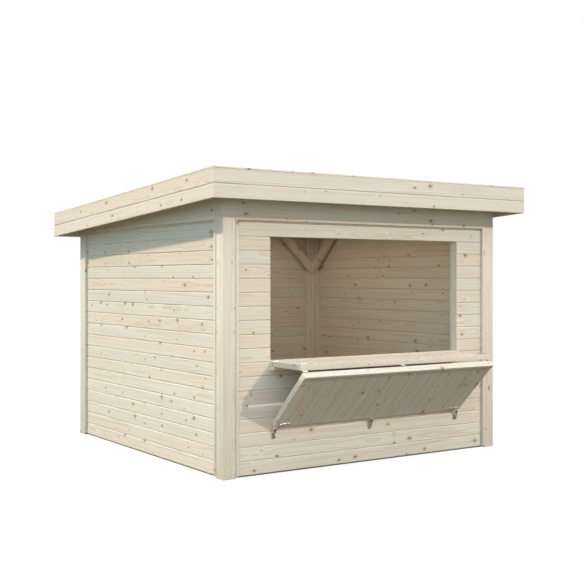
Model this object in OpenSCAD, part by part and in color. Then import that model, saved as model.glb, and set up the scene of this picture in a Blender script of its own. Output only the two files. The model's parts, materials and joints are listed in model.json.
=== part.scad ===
// Wooden market stall: four corner posts, boarded walls, a nearly flat roof behind a deep
// fascia, and a two-leaf serving hatch that opens into a counter. Millimetres, +Z up, the
// front wall faces -Y, and the origin is on the ground below the centre of the overall box.

/* [Body] */
// Width over the corner posts
body_w = 2980; // [2480:10:3600]
// Depth over the corner posts
body_d = 2980; // [2480:10:3300]
// Side of the square corner posts
post_s = 115; // [110:1:140]

/* [Wall boards] */
// Height that one wall board covers
board_pitch = 114; // [95:1:137]
// Thickness of the wall boards
board_t = 18; // [15:1:22]
// Depth of the boards' outer face behind the posts' outer face
board_setback = 18; // [15:1:22]
// Gap between the ground and the lowest board
ground_gap = 14; // [10:1:30]
// Number of boards below the serving opening
sill_rows = 8; // [6:1:9]

/* [Serving opening] */
// Width of the serving opening
opening_w = 2068; // [1700:1:2250]
// Number of boards that the opening is high
opening_rows = 9; // [9:1:10]
// Height of the wall left above the opening
lintel_h = 157; // [130:1:170]
// Depth of the jambs, head and sill behind the boards
jamb_d = 70; // [58:1:90]
// Face width of the jambs, head and sill
jamb_w = 45; // [38:1:58]

/* [Framing] */
// Width of the battens that trim the walls outside
trim_w = 28; // [23:1:34]
// Thickness of the trim battens
trim_t = 24; // [20:1:28]
// Side of the square battens that hold the boards inside
stile_s = 45; // [37:1:50]
// Side of the square rails that the walls stand on
base_s = 45; // [37:1:50]
// Length of a knee brace along the post and along the beam
brace_leg = 450; // [380:1:520]
// Width of a knee brace
brace_w = 92; // [80:1:110]
// Thickness of a knee brace
brace_t = 45; // [37:1:50]

/* [Roof] */
// Reach of the roof beyond the posts on every side
overhang = 205; // [170:1:250]
// Fall of the roof towards the back, in degrees
roof_fall = 3.1; // [2.5:0.1:3.4]
// Height of the front fascia's lower edge above the posts
fascia_rise = 121; // [110:1:145]
// Height of the fascia
fascia_h = 231; // [210:1:280]
// Thickness of the fascia
fascia_t = 18; // [15:1:28]
// Thickness of the strip on top of the fascia
cap_t = 14; // [11:1:20]
// Width of the strip on top of the fascia
cap_w = 45; // [37:1:60]
// Depth of the roof felt below the fascia's top
felt_recess = 22; // [18:1:30]
// Thickness of the roof felt
felt_t = 3; // [2:1:5]
// Thickness of the roof boards
deck_t = 18; // [15:1:22]
// Height of a rafter
rafter_h = 95; // [80:1:114]
// Width of a rafter
rafter_w = 45; // [37:1:54]
// Number of rafters that rest on the beams
rafter_count = 6; // [5:1:8]

/* [Serving hatch] */
// Gap between the hatch's ends and the sides of the opening
hatch_gap = 9; // [6:1:12]
// Thickness of the counter
hatch_t = 44; // [40:1:52]
// Thickness of the flap
flap_t = 54; // [50:1:56]
// Thickness of the boards in both hatch leaves
hatch_board_t = 18; // [15:1:20]
// Reach of the counter from the wall boards
counter_reach = 446; // [380:1:500]
// Length of the flap from the counter's edge to its free end
flap_len = 641; // [570:1:650]
// Width of the edge battens and of the battens under the boards
hatch_batten_w = 28; // [24:1:45]
// Depth of the flap's boards behind its edge batten
flap_recess = 8; // [6:1:10]
// Reach of the ledger under the counter's back end
ledger_reach = 45; // [38:1:54]
// Height of the ledger under the counter
ledger_h = 28; // [23:1:34]
// Length of the ledger beyond the hatch at each end
ledger_lap = 10; // [6:1:30]

/* [Hinges] */
// Distance of the counter's hinge pins from the wall boards
sill_pin_reach = 23; // [20:1:26]
// Distance of a hinge pin from the faces that its leaves are screwed to
pin_offset = 6; // [5.5:0.5:7]
// Outer radius of a hinge knuckle
knuckle_r = 5.5; // [4.5:0.5:5.5]
// Radius of a hinge pin
pin_r = 3; // [2.5:0.5:3.5]
// Length of a hinge
hinge_len = 44; // [38:1:50]
// Height of a hinge leaf or a hasp's fixed leaf from its pin
leaf_h = 36; // [30:1:40]
// Thickness of the sheet metal leaves, plates and straps
sheet_t = 2; // [1.5:0.5:3]
// Distance of the outer hinges' middle from the hatch's ends
hinge_inset = 26; // [26:1:200]

/* [Hasps and bolts] */
// Width of a hasp
hasp_w = 28; // [24:1:32]
// Length of a hasp from its pin
hasp_len = 96; // [84:1:100]
// Angle that a hasp leans back to the wall from upright, in degrees
hasp_lean = 17; // [14:1:18]
// Distance of the outer hasps' middle from the flap's ends
hasp_inset = 20; // [18:1:22]
// Distance of a hasp's slot middle from its pin
slot_mid = 58; // [52:1:62]
// Length of a hasp's slot
slot_len = 42; // [38:1:48]
// Width of the loop that the hasp's slot passes over
loop_w = 5; // [4:1:6]
// Height of the loop
loop_h = 20; // [16:1:22]
// Reach of the loop from the wall boards
loop_reach = 42; // [38:1:46]
// Radius of a barrel bolt's rod
rod_r = 3.5; // [3:0.5:4]
// Length of a barrel bolt's rod
rod_len = 104; // [98:1:120]
// Length of the bent end that moves the rod
rod_handle = 24; // [18:1:30]
// Height of the rod's middle above the boards
rod_lift = 6; // [5.5:0.5:7]
// Length of a barrel bolt's plate
bolt_plate_len = 48; // [42:1:52]
// Width of a barrel bolt's plate
bolt_plate_w = 26; // [22:1:30]
// Distance of a bolt's middle line from the leaf's outer edge
bolt_inset = 45; // [43:1:60]
// Distance of the counter bolts' tips from the counter's ends
counter_bolt_start = 16; // [10:1:60]
// Distance of the flap bolts' tips from the flap's ends
flap_bolt_start = 41; // [40:1:60]

/* [Hidden] */
$fn = 48;

wood = "wheat";
base_wood = "darkseagreen";
felt = "dimgray";
zinc = "lightsteelblue";

// Gap between pieces of one node that stand end to end
piece_gap = 0.4;
// Gap between a moving piece and the seat that it rests on
seat_gap = 0.3;
// Running clearance round a pin or rod
run_gap = 0.08;
// Gap between two sloped faces that lie on each other
slope_gap = 0.05;
// Part of a flap knuckle's radius that passes below the corner of the flap
knuckle_tuck = 1.5;
// Distance of the folded flap from the counter's edge
fold_clear = 4;
// Gap between the folded flap's foot and the wall boards
foot_gap = 1;
// Distance of a hinge leaf's sheet from its knuckles' outside
leaf_clear = 1;
// Distance that the ends of a bore are drawn beyond the piece
bore_spare = 1;
// Play of the hasp's slot on the wall loop
slot_play = 5;
// Wall beside the bore, length and distance from the plate's end of a barrel bolt's guides
guide_wall = 3.5;
guide_len = 10;
guide_inset = 2;

// Heights
sill_z = ground_gap + sill_rows * board_pitch;
head_z = sill_z + opening_rows * board_pitch;
post_h = head_z + lintel_h;
fascia_z = post_h + fascia_rise;

// Depths measured inwards from the posts' outer face
board_in = board_setback + board_t;

// Hatch sizes, measured outwards from the wall boards and upwards
counter_back = sill_pin_reach + pin_offset;
counter_low = sill_z - hatch_t;
flap_gap = knuckle_r - knuckle_tuck;
flap_pin_reach = counter_reach + pin_offset + fold_clear;
flap_pin_z = counter_low - pin_offset;
flap_start = flap_pin_reach + flap_gap;
flap_end = flap_start + flap_len;
flap_top = counter_low + flap_t;
hasp_r = 4;
hasp_pin_r = 2;
hasp_pin_reach = flap_end + hasp_r;
hasp_pin_z = flap_top - flap_recess + hasp_r;

// Angle that the flap is folded back from the counter's plane until its foot meets the wall
foot_a = flap_gap + flap_len;
flap_fold = acos((foot_gap - flap_pin_reach) / norm([foot_a, pin_offset])) + atan(pin_offset / foot_a);
hatch_reach = flap_pin_reach + turned_out(flap_gap, pin_offset + flap_t);

// Plan positions
roof_w = body_w + 2 * overhang;
front_reach = max(hatch_reach - board_setback, overhang);
front_y = -(body_d + overhang - front_reach) / 2;
centre_y = front_y + body_d / 2;
face_y = front_y + board_setback;
roof_front = front_y - overhang;
roof_back = front_y + body_d + overhang;
roof_in = fascia_h - felt_recess - felt_t - deck_t - rafter_h;

// Outward and upward parts of an offset from the flap's pins after the flap is folded back
function turned_out(out, up) = out * cos(flap_fold) + up * sin(flap_fold);
function turned_up(out, up) = up * cos(flap_fold) - out * sin(flap_fold);

// Height of the roof's slope, taken at the fascia's lower edge
function slope_z(y) = fascia_z - (y - roof_front) * tan(roof_fall);

// Length of a wall, and its distance from the middle of the stall: 0 front, 1 right, 2 back, 3 left
function wall_len(side) = side % 2 == 0 ? body_w : body_d;
function wall_out(side) = side % 2 == 0 ? body_d / 2 : body_w / 2;

// Shared shapes

module block(low, high) {
    translate(low) cube(high - low);
}

// Puts a piece on one wall: X runs along the wall and Y inwards from the posts' outer face
module on_wall(side) {
    translate([0, centre_y, 0])
        rotate([0, 0, 90 * side])
            translate([-wall_len(side) / 2, -wall_out(side), 0])
                children();
}

// Puts a piece on both ends of a wall, the second one mirrored
module both_ends(side) {
    children();
    translate([wall_len(side), 0, 0]) mirror([1, 0, 0]) children();
}

// A piece drawn as a Y-Z outline and run along X
module run_x(x0, x1, outline) {
    translate([x0, 0, 0])
        rotate([90, 0, 90])
            linear_extrude(x1 - x0)
                polygon(outline);
}

// A piece that lies parallel with the roof, between two lifts above the fascia's lower edge
module roof_piece(x0, x1, y0, y1, lift0, lift1) {
    run_x(x0, x1, [
        [y0, slope_z(y0) + lift0],
        [y1, slope_z(y1) + lift0],
        [y1, slope_z(y1) + lift1],
        [y0, slope_z(y0) + lift1]
    ]);
}

// A piece drawn as an outline of outward reach and height, and run along the front wall
module run_front(x0, x1, outline) {
    run_x(x0, x1, [for (p = outline) [face_y - p[0], p[1]]]);
}

module front_block(x0, x1, reach0, reach1, z0, z1) {
    block([x0, face_y - reach1, z0], [x1, face_y - reach0, z1]);
}

// Turns a piece drawn in the counter's plane back to where the flap hangs
module folded() {
    translate([0, face_y - flap_pin_reach, flap_pin_z])
        rotate([flap_fold, 0, 0])
            translate([0, flap_pin_reach - face_y, -flap_pin_z])
                children();
}

module rod_x(x0, x1, radius) {
    translate([x0, 0, 0]) rotate([0, 90, 0]) cylinder(r = radius, h = x1 - x0);
}

// Half of a hinge about a pin along X: the outer half carries the pin between two end
// knuckles, the inner half turns on it. The leaf hangs down against the plane y = -offset.
module hinge_half(outer, len, offset, knuckle, pin, leaf) {
    step = len / 3;
    own = outer ? [0, 2] : [1];
    top = -knuckle - leaf_clear;
    difference() {
        union() {
            block([-len / 2, -offset, -leaf], [len / 2, sheet_t - offset, top]);
            for (i = own) {
                x0 = -len / 2 + i * step + piece_gap / 2;
                x1 = -len / 2 + (i + 1) * step - piece_gap / 2;
                block([x0, -offset, top - leaf_clear], [x1, sheet_t - offset, 0]);
                rod_x(x0, x1, knuckle);
            }
        }
        if (!outer) rod_x(-len / 2, len / 2, pin + run_gap);
    }
    if (outer) rod_x(-len / 2 + piece_gap / 2, len / 2 - piece_gap / 2, pin);
}

// Middles of the three hinges or hasps along the hatch
hatch_x = opening_w / 2 - hatch_gap;
function spots(inset) = [inset - hatch_x, 0, hatch_x - inset];

// Frame of the stall

module post(side) {
    color(wood) on_wall(side) block([0, 0, 0], [post_s, post_s, post_h]);
}

// The beams across the front and the back lie on the posts, with their tops cut to the roof
module cross_beam(y0) {
    y1 = y0 + post_s;
    color(wood) run_x(-body_w / 2, body_w / 2, [
        [y0, post_h],
        [y1, post_h],
        [y1, slope_z(y1) + roof_in],
        [y0, slope_z(y0) + roof_in]
    ]);
}

// The wedge-shaped beams along the sides fit between the cross beams
module side_beam(x0) {
    y0 = front_y + post_s;
    y1 = front_y + body_d - post_s;
    color(wood) run_x(x0, x0 + post_s, [
        [y0, post_h],
        [y1, post_h],
        [y1, slope_z(y1) + roof_in],
        [y0, slope_z(y0) + roof_in]
    ]);
}

module base_rails() {
    color(base_wood) for (side = [0:3]) on_wall(side)
        block([post_s, board_in, 0], [wall_len(side) - post_s, board_in + base_s, base_s]);
}

// A brace leaves the post at brace_z and meets the beam brace_leg away from the post
brace_z = post_h - brace_leg;
brace_rise = brace_w * sqrt(2);
stile_in = board_in + stile_s;

// A timber beside a post, drawn in the wall's plane, with its inner face at the depth named
module upright_outline(inner, thick, outline) {
    translate([post_s, inner, 0])
        rotate([90, 0, 0])
            linear_extrude(thick)
                polygon(outline);
}

// The braces lie flush with the posts' inner faces
module knee_braces() {
    color(wood) for (side = [1:3]) on_wall(side) both_ends(side)
        upright_outline(post_s, brace_t, [
            [0, brace_z],
            [brace_leg, post_h],
            [brace_leg - brace_rise, post_h],
            [0, brace_z + brace_rise]
        ]);
}

// The battens that hold the boards beside the posts are cut round the knee braces
module inner_stiles() {
    color(wood) on_wall(0) both_ends(0)
        upright_outline(stile_in, stile_s, [
            [0, base_s],
            [stile_s, base_s],
            [stile_s, post_h],
            [0, post_h]
        ]);
    color(wood) for (side = [1:3]) on_wall(side) both_ends(side) {
        upright_outline(stile_in, stile_s, [
            [0, base_s],
            [stile_s, base_s],
            [stile_s, brace_z + stile_s],
            [0, brace_z]
        ]);
        upright_outline(stile_in, stile_s, [
            [0, brace_z + brace_rise],
            [stile_s, brace_z + brace_rise + stile_s],
            [stile_s, post_h],
            [0, post_h]
        ]);
    }
}

// Walls

module wall_panel(side, x0, x1, z0, z1) {
    color(wood) on_wall(side) block([x0, board_setback, z0], [x1, board_in, z1]);
}

module whole_wall(side) {
    wall_panel(side, post_s, wall_len(side) - post_s, ground_gap, post_h);
}

// Part of the front wall, from the ground up to the beam unless other heights are given
module front_panel(x0, x1, z0 = ground_gap, z1 = post_h) {
    wall_panel(0, x0, x1, z0, z1);
}

opening_x0 = (body_w - opening_w) / 2;
opening_x1 = (body_w + opening_w) / 2;

// Trim battens up both posts and along the beam, in front of the boards
module trim(side) {
    face = board_setback - trim_t;
    color(wood) on_wall(side) {
        both_ends(side)
            block([post_s, face, ground_gap], [post_s + trim_w, board_setback, post_h]);
        block([post_s + trim_w + piece_gap, face, post_h - trim_w],
            [wall_len(side) - post_s - trim_w - piece_gap, board_setback, post_h]);
    }
}

module opening_jambs() {
    color(wood) on_wall(0) both_ends(0)
        block([opening_x0 - jamb_w, board_in, base_s], [opening_x0, board_in + jamb_d, post_h]);
}

module opening_bar(z0) {
    color(wood) on_wall(0)
        block([opening_x0, board_in, z0], [opening_x1, board_in + jamb_d, z0 + jamb_w]);
}

// The ledger carries the counter's back end and its hinges
module counter_ledger() {
    back = sill_pin_reach - pin_offset;
    seat_z = counter_low - seat_gap;
    low_z = seat_z - ledger_h;
    end_x = hatch_x + ledger_lap;
    color(wood) run_front(-end_x, end_x, [
        [0, low_z],
        [ledger_reach, low_z],
        [ledger_reach, seat_z],
        [back, seat_z],
        [back, sill_z],
        [0, sill_z]
    ]);
}

// Roof

module rafters() {
    first = -body_w / 2 + post_s / 2;
    step = (body_w - post_s) / (rafter_count - 1);
    verge = roof_w / 2 - fascia_t - rafter_w / 2;
    middles = concat([-verge], [for (i = [0:rafter_count - 1]) first + i * step], [verge]);
    color(wood) for (x = middles)
        roof_piece(x - rafter_w / 2, x + rafter_w / 2, roof_front + fascia_t,
            roof_back - fascia_t, roof_in + slope_gap, roof_in + rafter_h);
}

module roof_sheet(lift0, lift1) {
    edge = roof_w / 2 - fascia_t;
    roof_piece(-edge, edge, roof_front + fascia_t, roof_back - fascia_t, lift0, lift1);
}

module roof_deck() {
    color(wood) roof_sheet(roof_in + rafter_h, roof_in + rafter_h + deck_t);
}

module roof_felt() {
    color(felt) roof_sheet(fascia_h - felt_recess - felt_t, fascia_h - felt_recess);
}

module cross_fascia(y0) {
    color(wood) roof_piece(-roof_w / 2, roof_w / 2, y0, y0 + fascia_t, 0, fascia_h);
}

module side_fascia(x0) {
    color(wood)
        roof_piece(x0, x0 + fascia_t, roof_front + fascia_t, roof_back - fascia_t, 0, fascia_h);
}

module roof_cap() {
    low = fascia_h + slope_gap;
    top = fascia_h + cap_t;
    side_y0 = roof_front + cap_w + piece_gap;
    side_y1 = roof_back - cap_w - piece_gap;
    color(wood) {
        for (y = [roof_front, roof_back - cap_w])
            roof_piece(-roof_w / 2, roof_w / 2, y, y + cap_w, low, top);
        for (x = [-roof_w / 2, roof_w / 2 - cap_w])
            roof_piece(x, x + cap_w, side_y0, side_y1, low, top);
    }
}

// Serving hatch: the counter leaf and the flap leaf, each of boards on battens with an
// edge batten over the boards' outer ends

module counter_boards() {
    color(wood) front_block(-hatch_x, hatch_x, counter_back, counter_reach - hatch_batten_w,
        sill_z - hatch_board_t, sill_z);
}

// Battens under a leaf's boards: one at each end, one in the middle and one along the back
module under_battens(reach0, reach1, z0, z1, back_at_start) {
    w = hatch_batten_w;
    back0 = back_at_start ? reach0 : reach1 - w;
    run0 = back_at_start ? reach0 + w + piece_gap : reach0;
    run1 = back_at_start ? reach1 : reach1 - w - piece_gap;
    front_block(-hatch_x, hatch_x, back0, back0 + w, z0, z1);
    for (x = [-hatch_x, -w / 2, hatch_x - w])
        front_block(x, x + w, run0, run1, z0, z1);
}

module counter_battens() {
    edge = counter_reach - hatch_batten_w;
    color(wood) {
        front_block(-hatch_x, hatch_x, edge, counter_reach, counter_low, sill_z);
        under_battens(counter_back, edge - piece_gap, counter_low, sill_z - hatch_board_t, true);
    }
}

module flap_boards() {
    top = flap_top - flap_recess;
    color(wood) folded() front_block(-hatch_x, hatch_x, flap_start + hatch_batten_w, flap_end,
        top - hatch_board_t, top);
}

module flap_battens() {
    edge = flap_start + hatch_batten_w;
    color(wood) folded() {
        front_block(-hatch_x, hatch_x, flap_start, edge, counter_low, flap_top);
        under_battens(edge + piece_gap, flap_end, counter_low,
            flap_top - flap_recess - hatch_board_t, false);
    }
}

// Hinges

module sill_hinge_leaves() {
    color(zinc) for (x = spots(hinge_inset))
        translate([x, face_y - sill_pin_reach, sill_z])
            rotate([0, 0, 180])
                hinge_half(true, hinge_len, pin_offset, knuckle_r, pin_r, leaf_h);
}

// The counter carries the inner halves at the wall and the outer halves at the flap
module counter_hinge_leaves() {
    color(zinc) for (x = spots(hinge_inset)) {
        translate([x, face_y - sill_pin_reach, sill_z])
            hinge_half(false, hinge_len, pin_offset, knuckle_r, pin_r, leaf_h);
        translate([x, face_y - flap_pin_reach, flap_pin_z])
            rotate([90, 0, 0])
                rotate([0, 0, 180])
                    hinge_half(true, hinge_len, pin_offset, knuckle_r, pin_r, leaf_h);
    }
}

module flap_hinge_leaves() {
    color(zinc) folded() for (x = spots(hinge_inset))
        translate([x, face_y - flap_pin_reach, flap_pin_z])
            rotate([-90, 0, 0])
                hinge_half(false, hinge_len, pin_offset, knuckle_r, pin_r, leaf_h);
}

// Hasps: fixed leaves on the flap's free end, slotted straps, and loops on the wall

module hasp_leaves() {
    color(zinc) folded() for (x = spots(hasp_inset))
        translate([x, face_y - hasp_pin_reach, hasp_pin_z])
            rotate([0, 0, 180])
                hinge_half(true, hasp_w, hasp_r, hasp_r, hasp_pin_r, leaf_h);
}

hasp_out = turned_out(hasp_pin_reach - flap_pin_reach, hasp_pin_z - flap_pin_z);
hasp_up = turned_up(hasp_pin_reach - flap_pin_reach, hasp_pin_z - flap_pin_z);
slot_w = loop_w + slot_play;

module hasp(x) {
    knuckle = hasp_w / 3 - piece_gap;
    end = hasp_len - hasp_w / 2;
    color(zinc)
        translate([x, face_y - flap_pin_reach - hasp_out, flap_pin_z + hasp_up])
            rotate([hasp_lean, 0, 0]) {
                difference() {
                    union() {
                        rod_x(-knuckle / 2, knuckle / 2, hasp_r);
                        block([-knuckle / 2, -sheet_t / 2, -hasp_r - 2 * leaf_clear],
                            [knuckle / 2, sheet_t / 2, 0]);
                    }
                    rod_x(-knuckle / 2 - bore_spare, knuckle / 2 + bore_spare,
                        hasp_pin_r + run_gap);
                }
                translate([0, sheet_t / 2, 0])
                    rotate([90, 0, 0])
                        linear_extrude(sheet_t)
                            difference() {
                                union() {
                                    translate([-hasp_w / 2, -end])
                                        square([hasp_w, end - hasp_r - leaf_clear]);
                                    translate([0, -end]) circle(hasp_w / 2);
                                }
                                translate([-slot_w / 2, -slot_mid - slot_len / 2])
                                    square([slot_w, slot_len]);
                            }
            }
}

loop_z = flap_pin_z + hasp_up - slot_mid * cos(hasp_lean);

module hasp_loops() {
    eye = loop_h / 4;
    color(zinc) for (x = spots(hasp_inset)) {
        front_block(x - hasp_w / 2, x + hasp_w / 2, 0, sheet_t, loop_z - loop_h, loop_z + loop_h);
        translate([x - loop_w / 2, face_y - loop_reach + loop_h / 2, loop_z])
            rotate([90, 0, 90])
                linear_extrude(loop_w)
                    difference() {
                        union() {
                            circle(loop_h / 2);
                            translate([0, -loop_h / 2])
                                square([loop_reach - loop_h / 2 - sheet_t / 2, loop_h]);
                        }
                        circle(eye);
                    }
    }
}

// Barrel bolts: plates with two bored guides, and rods with a bent end. They are drawn for
// the left-hand end, with the rod's tip at the origin and the boards' face at z = 0.

module bolt_plate() {
    guide_w = 2 * (rod_r + guide_wall);
    guide_h = rod_lift + rod_r + sheet_t;
    difference() {
        union() {
            block([0, -bolt_plate_w / 2, 0], [bolt_plate_len, bolt_plate_w / 2, sheet_t]);
            for (x = [guide_inset, bolt_plate_len - guide_len - guide_inset])
                block([x, -guide_w / 2, 0], [x + guide_len, guide_w / 2, guide_h]);
        }
        translate([0, 0, rod_lift]) rod_x(-bore_spare, bolt_plate_len + bore_spare, rod_r + run_gap);
    }
}

module bolt_rod() {
    translate([0, 0, rod_lift]) {
        rod_x(0, rod_len, rod_r);
        translate([rod_len - rod_r, 0, 0]) rotate([90, 0, 0]) cylinder(r = rod_r, h = rod_handle);
    }
}

// Puts a bolt at one end of the hatch: end is -1 on the left and 1 on the right
module at_end(end, start, reach, z) {
    translate([end * (hatch_x - start), face_y - reach, z])
        mirror([end > 0 ? 1 : 0, 0, 0])
            children();
}

module on_counter(end) {
    at_end(end, counter_bolt_start, counter_reach - bolt_inset, sill_z) children();
}

module on_flap(end) {
    folded() at_end(end, flap_bolt_start, flap_end - bolt_inset, flap_top - flap_recess) children();
}

module counter_bolt_plates() {
    color(zinc) for (end = [-1, 1]) on_counter(end) bolt_plate();
}

module flap_bolt_plates() {
    color(zinc) for (end = [-1, 1]) on_flap(end) bolt_plate();
}

// Nodes

post(0);  // post_front_left
post(1);  // post_front_right
post(2);  // post_back_right
post(3);  // post_back_left
cross_beam(front_y);  // beam_front
cross_beam(front_y + body_d - post_s);  // beam_back
side_beam(-body_w / 2);  // beam_left
side_beam(body_w / 2 - post_s);  // beam_right
base_rails();
inner_stiles();
knee_braces();
front_panel(post_s, opening_x0);  // wall_front_left
front_panel(opening_x1, body_w - post_s);  // wall_front_right
front_panel(opening_x0, opening_x1, z1 = sill_z);  // wall_front_sill
front_panel(opening_x0, opening_x1, z0 = head_z);  // wall_front_lintel
whole_wall(1);  // wall_right
whole_wall(2);  // wall_back
whole_wall(3);  // wall_left
trim(0);  // trim_front
trim(1);  // trim_right
trim(2);  // trim_back
trim(3);  // trim_left
opening_jambs();
opening_bar(head_z);  // opening_head
opening_bar(sill_z - jamb_w);  // opening_sill
counter_ledger();
rafters();
roof_deck();
roof_felt();
cross_fascia(roof_front);  // fascia_front
cross_fascia(roof_back - fascia_t);  // fascia_back
side_fascia(-roof_w / 2);  // fascia_left
side_fascia(roof_w / 2 - fascia_t);  // fascia_right
roof_cap();
counter_boards();
counter_battens();
flap_boards();
flap_battens();
sill_hinge_leaves();
counter_hinge_leaves();
flap_hinge_leaves();
hasp_leaves();
hasp(spots(hasp_inset)[0]);  // hasp_left
hasp(spots(hasp_inset)[1]);  // hasp_middle
hasp(spots(hasp_inset)[2]);  // hasp_right
hasp_loops();
counter_bolt_plates();
flap_bolt_plates();
color(zinc) on_counter(-1) bolt_rod();  // counter_bolt_left
color(zinc) on_counter(1) bolt_rod();  // counter_bolt_right
color(zinc) on_flap(-1) bolt_rod();  // flap_bolt_left
color(zinc) on_flap(1) bolt_rod();  // flap_bolt_right
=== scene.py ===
"""Looks of a wooden market stall: a Blender add-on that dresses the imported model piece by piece."""

import json
import math
import random

import bmesh
import bpy
from bpy.props import FloatProperty, FloatVectorProperty, IntProperty, PointerProperty
from mathutils import Matrix, Vector

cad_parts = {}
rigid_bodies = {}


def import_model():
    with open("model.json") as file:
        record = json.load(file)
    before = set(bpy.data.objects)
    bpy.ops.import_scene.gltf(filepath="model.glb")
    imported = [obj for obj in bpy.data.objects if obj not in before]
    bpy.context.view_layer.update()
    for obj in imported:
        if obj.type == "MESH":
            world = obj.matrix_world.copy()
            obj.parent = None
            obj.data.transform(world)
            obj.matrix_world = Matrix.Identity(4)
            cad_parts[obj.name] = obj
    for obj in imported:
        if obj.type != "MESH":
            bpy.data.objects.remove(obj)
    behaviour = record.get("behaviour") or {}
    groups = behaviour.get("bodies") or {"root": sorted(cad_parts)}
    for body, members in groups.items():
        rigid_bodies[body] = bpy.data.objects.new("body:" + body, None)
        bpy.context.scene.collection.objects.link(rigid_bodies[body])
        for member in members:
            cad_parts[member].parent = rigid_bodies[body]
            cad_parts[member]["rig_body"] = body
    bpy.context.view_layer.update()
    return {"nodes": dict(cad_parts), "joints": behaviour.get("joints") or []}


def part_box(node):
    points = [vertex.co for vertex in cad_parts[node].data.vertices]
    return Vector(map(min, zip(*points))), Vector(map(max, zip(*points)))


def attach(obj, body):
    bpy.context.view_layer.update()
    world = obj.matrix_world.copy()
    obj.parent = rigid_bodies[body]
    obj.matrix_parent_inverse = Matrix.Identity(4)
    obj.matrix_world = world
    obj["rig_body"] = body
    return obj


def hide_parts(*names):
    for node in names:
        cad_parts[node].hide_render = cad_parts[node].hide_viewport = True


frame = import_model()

bl_info = {
    "name": "Market stall looks",
    "version": (1, 0, 0),
    "blender": (4, 5, 0),
    "location": "3D View > Sidebar > Stall",
    "description": "Boards, timbers, roofing and ironwork of a market stall, with its stage",
    "category": "Object",
}

WELD = 0.00002
FLAT_ANGLE = math.radians(1)
ARRIS_ANGLE = math.radians(15)
X, Y, Z = Vector((1, 0, 0)), Vector((0, 1, 0)), Vector((0, 0, 1))

POSTS = ["post_front_left", "post_front_right", "post_back_left", "post_back_right"]
BEAMS = ["beam_front", "beam_back", "beam_left", "beam_right"]
TRIMS = ["trim_front", "trim_back", "trim_left", "trim_right"]
INSIDE = ["inner_stiles", "knee_braces", "opening_jambs", "opening_head", "opening_sill"]
HASPS = ["hasp_left", "hasp_middle", "hasp_right"]
BOLTS = ["counter_bolt_left", "counter_bolt_right", "flap_bolt_left", "flap_bolt_right"]

# Name, its strength's setting, colour, azimuth, elevation and width in degrees. The narrow lamps
# draw the shadows, and the wide ones soften them.
LAMPS = [
    ("lamp_right", "sun_right", (1.0, 0.88, 0.78), 31.6, 30.0, 2.5),
    ("lamp_front", "front_fill", (0.94, 0.98, 1.0), -38.0, 10.0, 50.0),
    ("lamp_left", "sun_left", (0.95, 0.76, 0.63), -131.0, 42.0, 2.5),
    ("lamp_above", "above", (0.97, 0.98, 1.0), 0.0, 70.0, 80.0),
    ("lamp_left_fill", "left_fill", (0.0, 0.75, 1.0), -90.0, 20.0, 90.0),
]
ROOM_LAMP_COLOR = (1.0, 0.88, 0.72)
ROOM_LAMP_SHARE = 0.8
ROOM_LAMP_DROP = 0.02


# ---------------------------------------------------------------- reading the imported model


def joint(name):
    """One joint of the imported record."""
    return next(j for j in frame["joints"] if j["name"] == name)


def unfolded():
    """The turn that lays the hanging flap out level with the counter, in the row frame."""
    hinge = joint("flap_hinge")
    pin = Vector(hinge["pos_m"])
    turn = Matrix.Rotation(math.radians(hinge["range_deg"][1]), 4, Vector(hinge["axis"]))
    return Matrix.Translation(pin) @ turn @ Matrix.Translation(-pin)


def laid_box(node, turn):
    """Lowest and highest corner of a node after a turn."""
    points = [turn @ v.co for v in frame["nodes"][node].data.vertices]
    low = Vector([min(p[i] for p in points) for i in range(3)])
    high = Vector([max(p[i] for p in points) for i in range(3)])
    return low, high


def node_copy(node):
    """A merged copy of a CAD node's mesh, its flat faces made whole."""
    bm = bmesh.new()
    bm.from_mesh(frame["nodes"][node].data)
    bmesh.ops.remove_doubles(bm, verts=bm.verts, dist=WELD)
    bmesh.ops.dissolve_limit(bm, angle_limit=FLAT_ANGLE, verts=bm.verts, edges=bm.edges)
    return bm


def islands(bm):
    """The separate solids of a mesh, each a list of its vertices."""
    bm.verts.index_update()
    seen, found = set(), []
    for start in bm.verts:
        if start in seen:
            continue
        seen.add(start)
        group, front = [start], [start]
        while front:
            for edge in front.pop().link_edges:
                for v in edge.verts:
                    if v not in seen:
                        seen.add(v)
                        group.append(v)
                        front.append(v)
        found.append(group)
    return found


def largest(elements, measure):
    """The edge or face that measures most. Of equal ones it is the first in the mesh, because a
    set has no fixed order and the grain has to come out the same in every run."""
    return max(elements, key=lambda element: (round(measure(element), 6), -element.index))


# ---------------------------------------------------------------- timbers and boards


def mark_timber(bm, verts, middle, along, across, through, seed):
    """Writes each vertex's place in its own timber, in metres, and the timber's random number."""
    grain = bm.verts.layers.float_vector.get("grain") or bm.verts.layers.float_vector.new("grain")
    timber = bm.verts.layers.float.get("timber") or bm.verts.layers.float.new("timber")
    for v in verts:
        reach = v.co - middle
        v[grain] = (reach.dot(along), reach.dot(across), reach.dot(through))
        v[timber] = seed


def add_layers(bm):
    """Makes the grain layers before any vertex is kept in hand, because adding one drops them."""
    bm.verts.layers.float_vector.new("grain")
    bm.verts.layers.float.new("timber")


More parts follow.
